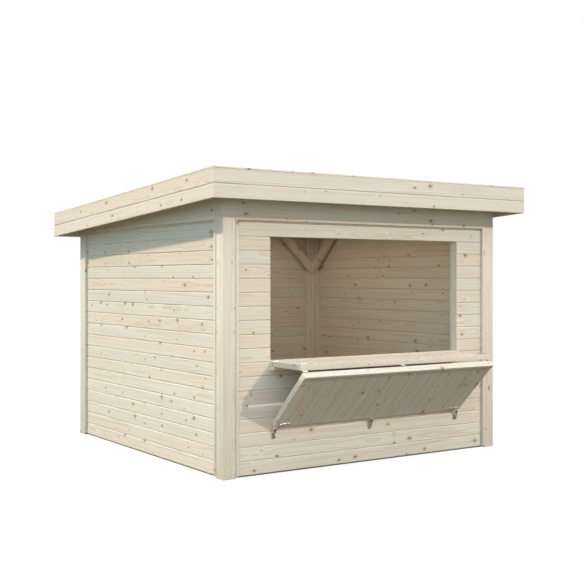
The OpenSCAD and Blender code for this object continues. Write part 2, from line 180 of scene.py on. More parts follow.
def mark_solids(bm, rng):
    """Lays the grain of every separate solid along its longest edge and flat in its widest face."""
    bm.edges.index_update()
    bm.faces.index_update()
    for group in islands(bm):
        edges = {e for v in group for e in v.link_edges}
        faces = {f for v in group for f in v.link_faces}
        longest = largest(edges, lambda e: e.calc_length())
        along = (longest.verts[1].co - longest.verts[0].co).normalized()
        if along.dot(X + Y + Z) < 0:
            along = -along
        widest = largest(faces, lambda f: f.calc_area())
        through = (widest.normal - widest.normal.dot(along) * along).normalized()
        across = through.cross(along)
        middle = sum((v.co for v in group), Vector()) / len(group)
        mark_timber(bm, group, middle, along, across, through, rng.random())


def ease_arrises(bm, width, segments=2):
    """Rounds the sharp edges of a mesh."""
    sharp = [e for e in bm.edges if e.is_manifold and e.calc_face_angle() > ARRIS_ANGLE]
    bmesh.ops.bevel(bm, geom=sharp, offset=width, offset_type="OFFSET", affect="EDGES",
                    segments=segments, profile=0.5, material=-1, clamp_overlap=True)


def board_profile(height, thick, joint_gap, chamfer, tongue, first, last):
    """Outline of a tongued and grooved board: height upwards, face at 0 and back at -thick."""
    top = height - (0 if last else joint_gap)
    outer, inner = -thick * 0.35, -thick * 0.65
    play = 0.0003
    points = [(0, -chamfer), (chamfer, 0), (top - chamfer, 0), (top, -chamfer)]
    if not last:
        points += [(top, outer), (height + tongue, outer), (height + tongue, inner), (top, inner)]
    points += [(top, -thick + chamfer), (top - chamfer, -thick), (chamfer, -thick), (0, -thick + chamfer)]
    if not first:
        depth = tongue + 2 * play
        points += [(0, inner - play), (depth, inner - play), (depth, outer + play), (0, outer + play)]
    return points


def extrude_outline(bm, points, length, place):
    """A solid drawn as an outline in local Y-Z, run along local X and put in its place."""
    start = [bm.verts.new((0, y, z)) for y, z in points]
    face = bm.faces.new(start)
    made = bmesh.ops.extrude_face_region(bm, geom=[face])["geom"]
    end = [v for v in made if isinstance(v, bmesh.types.BMVert)]
    bmesh.ops.translate(bm, verts=end, vec=(length, 0, 0))
    bmesh.ops.transform(bm, matrix=place, verts=start + end)
    return start + end


def lay_boards(bm, place, spans, heights, thick, rng, joint=1.0):
    """Rows of tongued and grooved boards on one plane. place puts local X along the boards,
    local Y across them and local Z out of their face; spans gives each row's start and end
    pairs; heights gives each row's covered height; joint widens or narrows the joints."""
    sizes = bpy.context.scene.stall_timber
    low = 0.0
    turn = place.to_3x3()
    for row, height in enumerate(heights):
        for x0, x1 in spans(row, low):
            first, last = row == 0, row == len(heights) - 1
            chamfer = min(sizes.chamfer * joint, height * 0.3)
            gap = sizes.joint_gap * joint
            points = board_profile(height, thick, gap, chamfer, sizes.tongue, first, last)
            local = place @ Matrix.Translation((x0, low, 0))
            verts = extrude_outline(bm, points, x1 - x0, local)
            middle = place @ Vector(((x0 + x1) / 2, low + height / 2, -thick / 2))
            mark_timber(bm, verts, middle, turn @ X, turn @ Y, turn @ Z, rng.random())
        low += height


def rows_up(total, pitch):
    """Covered heights of the rows of a boarded surface, with the last one cut to fit."""
    count = max(1, math.ceil(total / pitch - 0.02))
    return [pitch] * (count - 1) + [total - pitch * (count - 1)]


def axes(origin, along, across):
    """A placing matrix from an origin, the local X and the local Y."""
    out = along.cross(across)
    return Matrix((
        (along.x, across.x, out.x, origin.x),
        (along.y, across.y, out.y, origin.y),
        (along.z, across.z, out.z, origin.z),
        (0, 0, 0, 1),
    ))


def finish_piece(name, bm, material, body, replaced=()):
    """Makes the piece from its mesh, says what it rides on and is made of, and hides the CAD parts that it
    replaces.
    """
    bmesh.ops.recalc_face_normals(bm, faces=bm.faces)
    mesh = bpy.data.meshes.new(name)
    bm.to_mesh(mesh)
    bm.free()
    piece = bpy.data.objects.new(name, mesh)
    bpy.context.scene.collection.objects.link(piece)
    mesh.materials.append(bpy.data.materials[material])
    mesh.shade_smooth()
    mesh.set_sharp_from_angle(angle=math.radians(28))
    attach(piece, body)
    if replaced:
        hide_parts(*replaced)
    return piece


def timber_piece(node, body, material, arris):
    """A CAD timber with eased arrises and its own grain."""
    bm = node_copy(node)
    ease_arrises(bm, arris)
    add_layers(bm)
    mark_solids(bm, random.Random(node))
    return finish_piece(node + "_timber", bm, material, body, [node])


def body_of(node):
    """The body that a CAD node rides on."""
    return frame["nodes"][node]["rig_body"]


# ---------------------------------------------------------------- small ironwork


def add_head(bm, place, radius, height, segments, recess=0.0):
    """A nail or screw head: a low dome on local Z, with a sunk drive where recess is over 0."""
    made = bmesh.ops.create_cone(bm, cap_ends=True, segments=segments, radius1=radius,
                                 radius2=radius * 0.72, depth=height,
                                 matrix=place @ Matrix.Translation((0, 0, height / 2)))["verts"]
    if recess > 0:
        out = (place.to_3x3() @ Z).normalized()
        faces = {f for v in made for f in v.link_faces}
        top = max(faces, key=lambda f: f.calc_center_median().dot(out))
        bmesh.ops.inset_individual(bm, faces=[top], thickness=radius * 0.35)
        sunk = bmesh.ops.extrude_discrete_faces(bm, faces=[top])["faces"]
        bmesh.ops.translate(bm, verts=sunk[0].verts, vec=-out * recess)


# ---------------------------------------------------------------- materials


class Value:
    """One socket's output, so that shader maths reads as an expression."""

    def __init__(self, paint, socket):
        self.paint, self.socket = paint, socket

    def maths(self, operation, first, second=0.0):
        return self.paint.node("ShaderNodeMath", {"operation": operation}, {0: first, 1: second})

    def __add__(self, other):
        return self.maths("ADD", self, other)

    def __radd__(self, other):
        return self.maths("ADD", other, self)

    def __sub__(self, other):
        return self.maths("SUBTRACT", self, other)

    def __rsub__(self, other):
        return self.maths("SUBTRACT", other, self)

    def __mul__(self, other):
        return self.maths("MULTIPLY", self, other)

    def __rmul__(self, other):
        return self.maths("MULTIPLY", other, self)

    def __truediv__(self, other):
        return self.maths("DIVIDE", self, other)

    def root(self):
        return self.maths("SQRT", self)

    def part(self):
        return self.maths("FRACT", self)


class Paint:
    """One material. Every node but the shader and the output comes from node()."""

    def __init__(self, name, metallic=0.0, specular=0.5):
        self.material = bpy.data.materials.new(name)
        self.material.use_nodes = True
        self.tree = self.material.node_tree
        self.shader = self.tree.nodes["Principled BSDF"]
        self.shader.inputs["Metallic"].default_value = metallic
        self.shader.inputs["Specular IOR Level"].default_value = specular

    def feed(self, socket, value):
        if isinstance(value, Value):
            self.tree.links.new(value.socket, socket)
        else:
            socket.default_value = value

    def node(self, kind, settings=None, inputs=None, output=0):
        made = self.tree.nodes.new(kind)
        for key, value in (settings or {}).items():
            setattr(made, key, value)
        for key, value in (inputs or {}).items():
            self.feed(made.inputs[key], value)
        return Value(self, made.outputs[output])

    def attribute(self, name, output):
        return self.node("ShaderNodeAttribute", {"attribute_name": name}, {}, output)

    def split(self, vector):
        apart = self.node("ShaderNodeSeparateXYZ", {}, {0: vector})
        outputs = apart.socket.node.outputs
        return [Value(self, outputs[i]) for i in range(3)]

    def vector(self, x, y, z):
        return self.node("ShaderNodeCombineXYZ", {}, {0: x, 1: y, 2: z})

    def noise(self, vector, detail=2.0, scale=1.0, rough=0.5):
        return self.node("ShaderNodeTexNoise", {},
                         {"Vector": vector, "Scale": scale, "Detail": detail, "Roughness": rough}, "Fac")

    def step(self, value, low, high):
        return self.node("ShaderNodeMapRange", {"interpolation_type": "SMOOTHSTEP"},
                         {"Value": value, "From Min": low, "From Max": high})

    def mix(self, factor, first, second):
        return self.node("ShaderNodeMix", {"data_type": "RGBA"}, {0: factor, 6: first, 7: second}, 2)

    def bump(self, height, strength, distance):
        return self.node("ShaderNodeBump", {},
                         {"Strength": strength, "Distance": distance, "Height": height})

    def finish(self, color, roughness, normal=None):
        self.feed(self.shader.inputs["Base Color"], color)
        self.feed(self.shader.inputs["Roughness"], roughness)
        if normal is not None:
            self.feed(self.shader.inputs["Normal"], normal)


def shade(color, factor):
    """A colour made lighter or darker, with its alpha kept."""
    return (*[min(1.0, c * factor) for c in color[:3]], 1.0)


def paint_wood(name, pale, warm, grey, knots, ring_depth):
    """Planed softwood: growth rings about a wandering pith, colour streaks, and knots with the
    grain turned round them. It reads each timber's own grain and random number."""
    looks = bpy.context.scene.stall_finish
    paint = Paint(name, specular=0.3)
    x, y, z = paint.split(paint.attribute("grain", "Vector"))
    timber = paint.attribute("timber", "Fac")
    luck = paint.node("ShaderNodeTexWhiteNoise", {"noise_dimensions": "1D"}, {"W": timber * 977.0}, "Color")
    tone, hue, turn = paint.split(luck)
    shift = timber * 83.0

    girth = y + z
    cells = paint.vector(x * looks.knots_along + shift, girth * looks.knots_across + shift * 1.7, 0.0)
    settings = {"voronoi_dimensions": "2D", "feature": "F1", "distance": "EUCLIDEAN"}
    inputs = {"Vector": cells, "Scale": 1.0, "Randomness": 0.9}
    spot = paint.node("ShaderNodeTexVoronoi", settings, inputs, "Position")
    fate, size, odd = paint.split(Value(paint, spot.socket.node.outputs["Color"]))
    cx, cy, _ = paint.split(cells)
    sx, sy, _ = paint.split(spot)
    wobble = paint.noise(paint.vector(x * 90.0 + shift, y * 110.0, z * 60.0), 1.0)
    dx = (cx - sx) / looks.knots_along
    dy = (cy - sy) / looks.knots_across
    away = (dx * dx * 0.55 + dy * dy).root() * (0.75 + wobble * 0.5)
    present = paint.step(fate, 1.0 - knots, 1.0 - knots + 0.02)
    radius = (looks.knot_least + size * size * looks.knot_size) * (0.001 + present)
    core = (1.0 - paint.step(away / radius, 0.7, 1.15)) * present
    halo = (1.0 - paint.step(away / radius, 0.9, 3.0)) * present
    flame = (1.0 - paint.step((dx * dx * 0.012 + dy * dy).root() / (radius * 1.3), 0.1, 1.0)) * present

    bend = paint.noise(paint.vector(x * 0.9 + shift, y * 5.0, z * 5.0), 2.0) - 0.5
    lift = (1.0 - paint.step(away, 0.0, 0.045)) * present * 0.016
    side = y - (hue - 0.5) * 0.12 + bend * 0.05
    depth = z + 0.02 + hue * 0.05
    swell = paint.noise(paint.vector(x * 2.6 + shift, y * 1.5, 0.0), 1.0) - 0.5
    swell = swell * paint.step(turn, 0.4, 0.7)
    rings = (side * side + depth * depth).root() + x * (tone - 0.5) * 0.02 + swell * 0.042 + lift
    wave = (rings / looks.ring_width).part()
    late = paint.step(wave, 0.62, 0.92) * (1.0 - paint.step(wave, 0.95, 1.0))

    streak = paint.noise(paint.vector(x * 1.3 + shift, y * 34.0, z * 34.0), 3.0, rough=0.6)
    fibre = paint.noise(paint.vector(x * 12.0 + shift, y * 420.0, z * 420.0), 2.0)
    cloud = paint.noise(paint.vector(x * 2.2 + shift, y * 9.0, z * 9.0), 2.0)

    color = paint.mix(paint.step(tone, 0.15, 0.85), pale, warm)
    color = paint.mix(paint.step(hue, 0.55, 0.95) * 0.8, color, grey)
    color = paint.mix(paint.step(streak, 0.46, 0.68) * 0.42, color, shade(warm, 0.84))
    color = paint.mix(paint.step(cloud, 0.45, 0.75) * 0.22, color, shade(pale, 1.06))
    color = paint.mix(late * ring_depth * (0.4 + cloud), color, tuple(looks.ring_color))
    color = paint.mix(paint.step(fibre, 0.5, 0.8) * 0.1, color, shade(grey, 0.8))
    color = paint.mix(flame * 0.3 * odd, color, tuple(looks.flame_color))
    color = paint.mix(halo * 0.7, color, tuple(looks.flame_color))
    color = paint.mix(core * (1.0 - size * 0.45), color, tuple(looks.knot_color))

    height = late * 0.25 + fibre * 0.35 - core * 0.5
    paint.finish(color, 0.56 + fibre * 0.14, paint.bump(height, 0.25, 0.0006))


def paint_zinc(name, color, roughness):
    """Zinc-coated steel: soft spangles over a bright metal, a little dulled in patches."""
    paint = Paint(name, metallic=1.0)
    place = paint.node("ShaderNodeTexCoord", {}, {}, "Object")
    cells = {"Vector": place, "Scale": 420.0}
    flakes = paint.node("ShaderNodeTexVoronoi", {"feature": "F1"}, cells, "Color")
    spangle = paint.split(flakes)[0]
    dull = paint.noise(place, 3.0, 60.0)
    tone = paint.mix(spangle * 0.5 + dull * 0.3, shade(color, 0.86), shade(color, 1.08))
    height = spangle * 0.2 + dull * 0.3
    paint.finish(tone, roughness + dull * 0.15, paint.bump(height, 0.1, 0.0003))


def paint_felt(name, color):
    """Mineral roofing felt: fine slate grit with a few worn, darker patches."""
    paint = Paint(name, specular=0.25)
    place = paint.node("ShaderNodeTexCoord", {}, {}, "Object")
    grit = paint.node("ShaderNodeTexVoronoi", {"feature": "F1"}, {"Vector": place, "Scale": 650.0}, "Color")
    grain, glint, _ = paint.split(grit)
    wear = paint.noise(place, 4.0, 1.6)
    fleck = paint.mix(grain, shade(color, 0.55), shade(color, 1.7))
    tone = paint.mix(paint.step(wear, 0.45, 0.7) * 0.4, fleck, shade(color, 0.7))
    paint.finish(tone, 0.8 + glint * 0.15, paint.bump(grain, 0.6, 0.0012))


# ---------------------------------------------------------------- settings


class StallTimber(bpy.types.PropertyGroup):
    """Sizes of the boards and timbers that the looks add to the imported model."""

    joint_gap: FloatProperty(name="Joint gap", description="Open gap between two boards",
                             default=0.007, min=0.0, unit="LENGTH", subtype="DISTANCE")
    chamfer: FloatProperty(name="Board chamfer", description="Chamfer along each board's edges",
                           default=0.0035, min=0.0, unit="LENGTH", subtype="DISTANCE")
    tongue: FloatProperty(name="Tongue", description="Reach of a board's tongue into the next board",
                          default=0.010, min=0.0, unit="LENGTH", subtype="DISTANCE")
    post_arris: FloatProperty(name="Post arris", description="Rounding of the posts' and beams' edges",
                              default=0.003, min=0.0, unit="LENGTH", subtype="DISTANCE")
    batten_arris: FloatProperty(name="Batten arris", description="Rounding of the smaller timbers' edges",
                                default=0.0015, min=0.0, unit="LENGTH", subtype="DISTANCE")
    sill_rows: IntProperty(name="Rows below the opening", description="Boards below the serving opening",
                           default=8, min=1)
    fascia_rows: IntProperty(name="Fascia boards", description="Boards that make up the fascia's height",
                             default=2, min=1)
    hatch_boards: IntProperty(name="Hatch boards", description="Boards side by side in each hatch leaf",
                              default=18, min=1)
    felt_strips: IntProperty(name="Felt strips", description="Strips of felt from ridge to eaves",
                             default=4, min=1)
    felt_lap: FloatProperty(name="Felt lap", description="Overlap of two strips of felt",
                            default=0.09, min=0.0, unit="LENGTH", subtype="DISTANCE")
    felt_nail_pitch: FloatProperty(name="Felt nails", description="Distance between the clout nails",
                                   default=0.1, min=0.02, unit="LENGTH", subtype="DISTANCE")
    nail_radius: FloatProperty(name="Nail head", description="Radius of the nail heads in the hatch",
                               default=0.0035, min=0.001, unit="LENGTH", subtype="DISTANCE")
    nail_depth: FloatProperty(name="Nails below the arris",
                              description="Nails' distance from a batten's edge",
                              default=0.009, min=0.001, unit="LENGTH", subtype="DISTANCE")
    screw_radius: FloatProperty(name="Screw head", description="Radius of the screw heads",
                                default=0.0024, min=0.001, unit="LENGTH", subtype="DISTANCE")
    screw_inset: FloatProperty(name="Screw inset", description="Distance of the screws from a plate's ends",
                               default=0.006, min=0.001, unit="LENGTH", subtype="DISTANCE")
    deck_pitch: FloatProperty(name="Roof board", description="Width that one roof board covers",
                              default=0.096, min=0.05, unit="LENGTH", subtype="DISTANCE")


class StallFinish(bpy.types.PropertyGroup):
    """Colours and figure of the finishes."""

    pale: FloatVectorProperty(name="Pale wood", description="Colour of the palest boards",
                              subtype="COLOR", size=4, min=0, max=1, default=(0.80, 0.765, 0.675, 1))
    warm: FloatVectorProperty(name="Warm wood", description="Colour of the pinkish boards",
                              subtype="COLOR", size=4, min=0, max=1, default=(0.81, 0.705, 0.60, 1))
    grey: FloatVectorProperty(name="Cool wood", description="Colour of the greyish boards",
                              subtype="COLOR", size=4, min=0, max=1, default=(0.75, 0.735, 0.655, 1))
    ring_color: FloatVectorProperty(name="Late wood", description="Colour of the growth rings",
                                    subtype="COLOR", size=4, min=0, max=1, default=(0.66, 0.45, 0.295, 1))
    flame_color: FloatVectorProperty(name="Resin streaks", description="Colour beside the knots",
                                     subtype="COLOR", size=4, min=0, max=1, default=(0.56, 0.38, 0.23, 1))
    knot_color: FloatVectorProperty(name="Knots", description="Colour of the knots",
                                    subtype="COLOR", size=4, min=0, max=1, default=(0.12, 0.075, 0.045, 1))
    treated: FloatVectorProperty(name="Treated wood", description="Colour of the treated base rails",
                                 subtype="COLOR", size=4, min=0, max=1, default=(0.33, 0.36, 0.24, 1))
    zinc: FloatVectorProperty(name="Zinc", description="Colour of the hinges, hasps and bolts",
                              subtype="COLOR", size=4, min=0, max=1, default=(0.78, 0.78, 0.76, 1))
    nail: FloatVectorProperty(name="Nails", description="Colour of the nail heads",
                              subtype="COLOR", size=4, min=0, max=1, default=(0.30, 0.28, 0.25, 1))
    felt: FloatVectorProperty(name="Felt", description="Colour of the roofing felt",
                              subtype="COLOR", size=4, min=0, max=1, default=(0.075, 0.08, 0.078, 1))
    knots_along: FloatProperty(name="Knot sites along", description="Knot sites per metre along a board",
                               default=5.0, min=0.1)
    knots_across: FloatProperty(name="Knot sites across", description="Knot sites per metre across a board",
                                default=9.0, min=0.1)
    knot_least: FloatProperty(name="Smallest knot", description="Radius of the smallest knots",
                              default=0.0032, min=0.0, unit="LENGTH", subtype="DISTANCE")
    knot_size: FloatProperty(name="Knot spread", description="Radius that the largest knots have more",
                             default=0.0085, min=0.0, unit="LENGTH", subtype="DISTANCE")
    ring_width: FloatProperty(name="Ring width", description="Width of one growth ring",
                              default=0.016, min=0.001, unit="LENGTH", subtype="DISTANCE")


class StallStage(bpy.types.PropertyGroup):
    """Camera, lamps and floor."""

    eye: FloatVectorProperty(name="Camera place", description="Where the camera stands",
                             subtype="TRANSLATION", unit="LENGTH", default=(-5.483, -8.302, 1.609))
    yaw: FloatProperty(name="Camera yaw", description="Turn of the camera from straight ahead to the right",
                       subtype="ANGLE", unit="ROTATION", default=math.radians(33.8))
    lens: FloatProperty(name="Lens", description="Focal length of the camera in millimetres", default=62.0)
    shift: FloatProperty(name="Lens shift", description="Upward shift of the lens, keeping uprights upright",
                         default=-0.0234)
    sun_right: FloatProperty(name="Right lamp", description="Strength of the lamp on the serving side",
                             default=1.26, min=0.0)
    sun_left: FloatProperty(name="Left lamp", description="Strength of the lamp on the left side",
                            default=3.0, min=0.0)
    above: FloatProperty(name="Soft light above", description="Strength of the wide lamp overhead",
                         default=1.1, min=0.0)
    front_fill: FloatProperty(name="Soft light in front", description="Strength of the wide lamp in front",
                              default=0.45, min=0.0)
    left_fill: FloatProperty(name="Soft light on the left", description="Strength of the wide cool lamp",
                             default=0.60, min=0.0)
    inside: FloatProperty(name="Light inside", description="Power of the lamp below the roof, in watts",
                          default=12.8, min=0.0)
    sky: FloatProperty(name="Ambient light", description="Strength of the light from all round",
                       default=0.66, min=0.0)
    sky_color: FloatVectorProperty(name="Ambient colour", description="Colour of the light from all round",
                                   subtype="COLOR", size=4, min=0, max=1, default=(0.93, 0.96, 0.97, 1))
    floor_color: FloatVectorProperty(name="Floor", description="Colour that the floor shows",
                                     subtype="COLOR", size=4, min=0, max=1, default=(0.62, 0.62, 0.61, 1))
    floor_bounce: FloatVectorProperty(name="Floor bounce", description="Colour that the floor gives back",
                                      subtype="COLOR", size=4, min=0, max=1, default=(0.125, 0.12, 0.083, 1))
    floor_size: FloatProperty(name="Floor size", description="Side of the floor",
                              default=90.0, min=10.0, unit="LENGTH", subtype="DISTANCE")


# ---------------------------------------------------------------- operators


class STALL_OT_finishes(bpy.types.Operator):
    """Mixes the wood, zinc, nail and felt finishes"""

    bl_idname = "stall.finishes"
    bl_label = "Finishes"

    def execute(self, context):
        looks = context.scene.stall_finish
        pale, warm, grey = tuple(looks.pale), tuple(looks.warm), tuple(looks.grey)
        paint_wood("wall_spruce", pale, warm, grey, 0.40, 0.52)
        paint_wood("frame_spruce", pale, shade(warm, 1.02), grey, 0.30, 0.28)
        paint_wood("fascia_spruce", pale, warm, grey, 0.26, 0.42)
        paint_wood("hatch_spruce", pale, warm, grey, 0.44, 0.48)
        treated = tuple(looks.treated)
        paint_wood("treated_wood", treated, shade(treated, 0.9), shade(treated, 1.1), 0.25, 0.3)
        paint_zinc("zinc_plate", tuple(looks.zinc), 0.24)
        paint_zinc("nail_steel", tuple(looks.nail), 0.4)
        paint_felt("slate_felt", tuple(looks.felt))
        return {"FINISHED"}


class STALL_OT_walls(bpy.types.Operator):
    """Boards the four walls with tongued and grooved boards, round the serving opening"""

    bl_idname = "stall.walls"
    bl_label = "Wall boards"

    def execute(self, context):
        rows = context.scene.stall_timber.sill_rows
        sill_low, sill_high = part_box("wall_front_sill")
        lintel_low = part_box("wall_front_lintel")[0]
        left_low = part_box("wall_front_left")[0]
        right_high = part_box("wall_front_right")[1]
        pitch = (sill_high.z - sill_low.z) / rows
        thick = sill_high.y - sill_low.y
        total = right_high.z - left_low.z
        heights = rows_up(total, pitch)

        def front_spans(row, low):
            ends = (0.0, right_high.x - left_low.x)
            middle = low + heights[row] / 2 + left_low.z
            if sill_high.z < middle < lintel_low.z:
                return [(ends[0], sill_low.x - left_low.x), (sill_high.x - left_low.x, ends[1])]
            return [ends]

        bm = bmesh.new()
        add_layers(bm)
        lay_boards(bm, axes(left_low, X, Z), front_spans, heights, thick, random.Random(11))
        replaced = ["wall_front_left", "wall_front_right", "wall_front_sill", "wall_front_lintel"]
        finish_piece("front_wall_boards", bm, "wall_spruce", "stall", replaced)

        for side, seed in (("left", 21), ("back", 31), ("right", 41)):
            low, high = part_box("wall_" + side)
            size = high - low
            place = {
                "left": axes(Vector((low.x, high.y, low.z)), -Y, Z),
                "back": axes(Vector((high.x, high.y, low.z)), -X, Z),
                "right": axes(Vector((high.x, low.y, low.z)), Y, Z),
            }[side]
            length = max(size.x, size.y)
            bm = bmesh.new()
            add_layers(bm)
            lay_boards(bm, place, lambda row, low_edge: [(0.0, length)], heights, thick,
                       random.Random(seed))
            finish_piece(side + "_wall_boards", bm, "wall_spruce", "stall", ["wall_" + side])
        return {"FINISHED"}


class STALL_OT_timbers(bpy.types.Operator):
    """Eases the arrises of the posts, beams, trim, braces, jambs, ledger and base rails"""

    bl_idname = "stall.timbers"
    bl_label = "Posts, beams and battens"

    def execute(self, context):
        sizes = context.scene.stall_timber
        for node in POSTS + BEAMS:
            timber_piece(node, "stall", "frame_spruce", sizes.post_arris)
        for node in TRIMS + INSIDE + ["counter_ledger", "rafters"]:
            timber_piece(node, "stall", "frame_spruce", sizes.batten_arris)
        timber_piece("base_rails", "stall", "treated_wood", sizes.batten_arris)
        return {"FINISHED"}


class STALL_OT_roof(bpy.types.Operator):
    """Lays the roof boards and the overlapping felt"""

    bl_idname = "stall.roof"
    bl_label = "Roof boards and felt"

    def execute(self, context):
        sizes = context.scene.stall_timber
        low, high, slope = self.slab("roof_deck")
        across = (high.y - low.y) / math.cos(slope)
        thick = high.z - low.z - (high.y - low.y) * math.tan(slope)
        down = Vector((0, math.cos(slope), -math.sin(slope)))
        place = axes(Vector((low.x, low.y, high.z)), X, down)
        bm = bmesh.new()
        add_layers(bm)
        lay_boards(bm, place, lambda row, low_edge: [(0.0, high.x - low.x)],
                   rows_up(across, sizes.deck_pitch), thick * math.cos(slope), random.Random(51))
        finish_piece("roof_deck_boards", bm, "frame_spruce", "stall", ["roof_deck"])

        low, high, slope = self.slab("roof_felt")
        run = (high.y - low.y) / math.cos(slope)
        thick = high.z - low.z - (high.y - low.y) * math.tan(slope)
        thick *= math.cos(slope)
        width = (run + sizes.felt_lap * (sizes.felt_strips - 1)) / sizes.felt_strips
        length = high.x - low.x
        place = axes(Vector((low.x, low.y, high.z)), X, down)
        bm = bmesh.new()
        nails = bmesh.new()
        for strip in range(sizes.felt_strips):
            start = strip * (width - sizes.felt_lap)
            end = start + width
            last = strip == sizes.felt_strips - 1
            foot = -thick if last else -thick / 2
            outline = [(start, -thick), (end, foot), (end, foot + thick / 2), (start, -thick / 2)]
            extrude_outline(bm, outline, length, place)
            if last:
                continue
            count = round(length / sizes.felt_nail_pitch)
            for i in range(count):
                spot = Vector(((i + 0.5) * length / count, end - sizes.felt_lap * 0.35, -thick * 0.06))
                add_head(nails, place @ Matrix.Translation(spot), 0.005, 0.0015, 8)
        finish_piece("roof_felt_sheets", bm, "slate_felt", "stall", ["roof_felt"])
        finish_piece("felt_nails", nails, "zinc_plate", "stall")
        return {"FINISHED"}

    @staticmethod
    def slab(node):
        """Box of a sloped roof sheet, and its slope."""
        low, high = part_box(node)
        front = [v.co.z for v in frame["nodes"][node].data.vertices if v.co.y < low.y + WELD * 5]
        back = [v.co.z for v in frame["nodes"][node].data.vertices if v.co.y > high.y - WELD * 5]
        return low, high, math.atan2(max(front) - max(back), high.y - low.y)


class STALL_OT_fascia(bpy.types.Operator):
    """Builds the fascia from tongued and grooved boards and eases its top strip"""

    bl_idname = "stall.fascia"
    bl_label = "Fascia"

    def execute(self, context):
        sizes = context.scene.stall_timber
        slope = STALL_OT_roof.slab("roof_deck")[2]
        down = Vector((0, math.cos(slope), -math.sin(slope)))
        rows = sizes.fascia_rows
        for side, seed in (("front", 61), ("left", 71), ("back", 81), ("right", 91)):
            node = "fascia_" + side
            low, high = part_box(node)
            bm = bmesh.new()
            add_layers(bm)
            if side in ("front", "back"):
                thick = high.y - low.y
                tall = high.z - low.z - thick * math.tan(slope)
                front = side == "front"
                corner = Vector((low.x if front else high.x, low.y if front else high.y, high.z - tall))
                place = axes(corner, X if front else -X, Z)
                length = high.x - low.x
                lay_boards(bm, place, lambda row, low_edge: [(0.0, length)], [tall / rows] * rows,
                           thick, random.Random(seed))
            else:
                thick = high.x - low.x
                run = high.y - low.y
                tall = high.z - low.z - run * math.tan(slope)
                spare = tall * math.sin(slope) + 0.01
                up = Vector((0, math.sin(slope), math.cos(slope)))
                start = Vector((0, low.y, high.z - tall)) - down * spare
                length = run / math.cos(slope) + 2 * spare
                if side == "left":
                    corner = start + down * length
                    corner.x = low.x
                    place = axes(corner, -down, up)
                else:
                    corner = start.copy()
                    corner.x = high.x
                    place = axes(corner, down, up)
                height = tall * math.cos(slope) / rows
                lay_boards(bm, place, lambda row, low_edge: [(0.0, length)], [height] * rows,
                           thick, random.Random(seed))
                for edge, out in ((low.y, -Y), (high.y, Y)):
                    cut = bmesh.ops.bisect_plane(bm, geom=bm.verts[:] + bm.edges[:] + bm.faces[:],
                                                 plane_co=Y * edge, plane_no=out, clear_outer=True)
                    rim = [e for e in cut["geom_cut"] if isinstance(e, bmesh.types.BMEdge)]
                    bmesh.ops.contextual_create(bm, geom=rim)
            finish_piece(node + "_boards", bm, "fascia_spruce", "stall", [node])
        timber_piece("roof_cap", "stall", "fascia_spruce", sizes.batten_arris)
        return {"FINISHED"}


class STALL_OT_hatch(bpy.types.Operator):
    """Builds the counter and flap leaves: boards, edge battens and nails"""

    bl_idname = "stall.hatch"
    bl_label = "Serving hatch"

    def execute(self, context):
        sizes = context.scene.stall_timber
        for leaf, turn, seed in (("counter", Matrix.Identity(4), 101), ("flap", unfolded(), 111)):
            low, high = laid_box(leaf + "_boards", turn)
            back = turn.inverted()
            pitch = (high.x - low.x) / sizes.hatch_boards
            bm = bmesh.new()
            add_layers(bm)
            lay_boards(bm, back @ axes(Vector((low.x, high.y, high.z)), -Y, X),
                       lambda row, low_edge: [(0.0, high.y - low.y)],
                       [pitch] * sizes.hatch_boards, high.z - low.z, random.Random(seed), 0.4)
            finish_piece(leaf + "_leaf_boards", bm, "hatch_spruce", leaf,
                         [leaf + "_boards"])
            timber_piece(leaf + "_battens", leaf, "hatch_spruce", sizes.batten_arris)

            edge_low, edge_high = laid_box(leaf + "_battens", turn)
            if leaf == "counter":
                face = Vector((low.x + pitch / 2, edge_low.y, edge_high.z - sizes.nail_depth))
                place = axes(face, X, Z)
            else:
                face = Vector((high.x - pitch / 2, edge_high.y, (edge_low.z + edge_high.z) / 2))
                place = axes(face, -X, Z)
            nails = bmesh.new()
            for i in range(sizes.hatch_boards):
                add_head(nails, back @ place @ Matrix.Translation((i * pitch, 0, 0)),
                         sizes.nail_radius, 0.0008, 10)
            finish_piece(leaf + "_nails", nails, "nail_steel", leaf)
        return {"FINISHED"}


